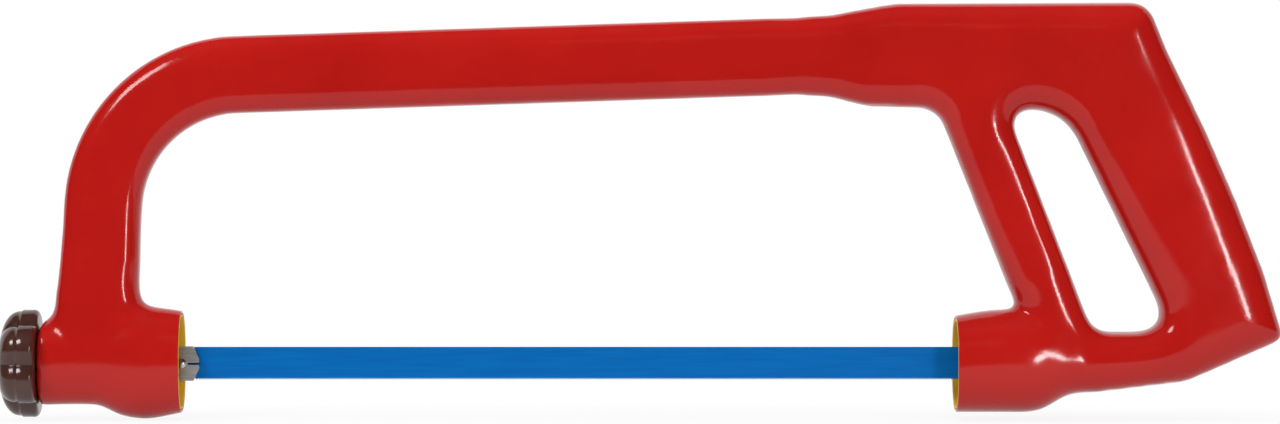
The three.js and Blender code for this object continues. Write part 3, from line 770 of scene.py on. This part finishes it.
def white_floor():
    material, shader = new_finish("pale_floor")
    tree = material.node_tree
    shader.inputs["Roughness"].default_value = 0.9
    shader.inputs["Specular IOR Level"].default_value = 0.0
    pale = ramp(material, add_noise(material, 8, 3), 0.3, 0.7, grey(0.80), grey(0.84))
    link(material, pale, shader.inputs["Base Color"])
    glow = tree.nodes.new("ShaderNodeEmission")
    where = add_node(material, "ShaderNodeTexCoord")
    spread = add_node(material, "ShaderNodeMapping")
    spread.inputs["Scale"].default_value = (1 / 0.26, 1 / 0.09, 1)
    away = add_node(material, "ShaderNodeVectorMath", operation="LENGTH")
    fade = add_node(material, "ShaderNodeMapRange", interpolation_type="SMOOTHSTEP")
    fade.inputs["From Min"].default_value = 0.6
    fade.inputs["From Max"].default_value = 1.6
    fade.inputs["To Min"].default_value = 0.88
    link(material, where.outputs["Object"], spread.inputs["Vector"])
    link(material, spread.outputs["Vector"], away.inputs[0])
    link(material, away.outputs["Value"], fade.inputs["Value"])
    share = tree.nodes.new("ShaderNodeMath")
    share.operation = "MULTIPLY"
    tree.links.new(fade.outputs["Result"], share.inputs[1])
    mix = tree.nodes.new("ShaderNodeMixShader")
    tree.links.new(seen_factor(tree), share.inputs[0])
    tree.links.new(share.outputs[0], mix.inputs["Fac"])
    tree.links.new(shader.outputs["BSDF"], mix.inputs[1])
    tree.links.new(glow.outputs["Emission"], mix.inputs[2])
    tree.links.new(mix.outputs["Shader"], tree.nodes["Material Output"].inputs["Surface"])
    return material


def white_world(fill):
    world = bpy.data.worlds.new("white_studio")
    world.use_nodes = True
    tree = world.node_tree
    background = tree.nodes["Background"]
    mix = tree.nodes.new("ShaderNodeMix")
    mix.data_type = "RGBA"
    mix.inputs["A"].default_value = (*grey(fill), 1)
    mix.inputs["B"].default_value = (1, 1, 1, 1)
    tree.links.new(seen_factor(tree), mix.inputs["Factor"])
    tree.links.new(mix.outputs["Result"], background.inputs["Color"])
    bpy.context.scene.world = world


def dark_cloth(name, corners):
    sheet = plane(name, corners)
    material, shader = new_finish(name)
    shader.inputs["Specular IOR Level"].default_value = 0.0
    black = ramp(material, add_noise(material, 30, 3), 0.3, 0.7, grey(0.004), grey(0.008))
    link(material, black, shader.inputs["Base Color"])
    sheet.data.materials.append(material)
    sheet.visible_camera = False
    sheet.visible_diffuse = False
    sheet.visible_transmission = False
    sheet.visible_shadow = False
    return sheet


def softbox(name, place, aim, size, power):
    light = bpy.data.lights.new(name, "AREA")
    light.shape = "RECTANGLE"
    light.size, light.size_y = size
    light.energy = power
    lamp = bpy.data.objects.new(name, light)
    lamp.location = place
    lamp.rotation_euler = (Vector(aim) - Vector(place)).to_track_quat("-Z", "Z").to_euler()
    bpy.context.scene.collection.objects.link(lamp)
    return lamp


floor = plane("floor", [(-3, -0.30, 0), (3, -0.30, 0), (3, 3, 0), (-3, 3, 0)])
floor.data.materials.append(white_floor())
dark_cloth("dark_apron", [(-3, -2.2, -0.02), (3, -2.2, -0.02), (3, -0.30, -0.002), (-3, -0.30, -0.002)])
dark_cloth("dark_drop", [(-3, -2.2, -0.02), (3, -2.2, -0.02), (3, -2.2, 2.6), (-3, -2.2, 2.6)])
dark_cloth("dark_left", [(-2.2, -2.2, 0), (-2.2, 0.6, 0), (-2.2, 0.6, 2.6), (-2.2, -2.2, 2.6)])
dark_cloth("dark_right", [(2.2, -2.2, 0), (2.2, 0.6, 0), (2.2, 0.6, 2.6), (2.2, -2.2, 2.6)])
dark_cloth("dark_ceiling", [(-2.2, -2.2, 2.6), (2.2, -2.2, 2.6), (2.2, 1.2, 2.6), (-2.2, 1.2, 2.6)])
white_world(0.19)
softbox("overhead_box", (0.0, -0.15, 1.25), (0, 0, 0.08), (2.2, 1.3), 13).visible_glossy = False
softbox("front_fill", (0.1, -1.9, 1.1), (0, 0, 0.08), (0.6, 0.3), 6).visible_glossy = False
softbox("back_fill", (0.0, 1.9, 1.0), (0, 0, 0.08), (0.8, 0.4), 8).visible_glossy = False
softbox("right_strip", (0.72, -1.15, 0.16), (0.10, 0, 0.09), (0.07, 0.5), 4.5)
softbox("left_box", (-0.80, -0.80, 0.75), (-0.2, 0, 0.12), (0.34, 0.34), 6)
bpy.context.scene.view_settings.view_transform = "Standard"
print("lamps:", len(bpy.data.lights))
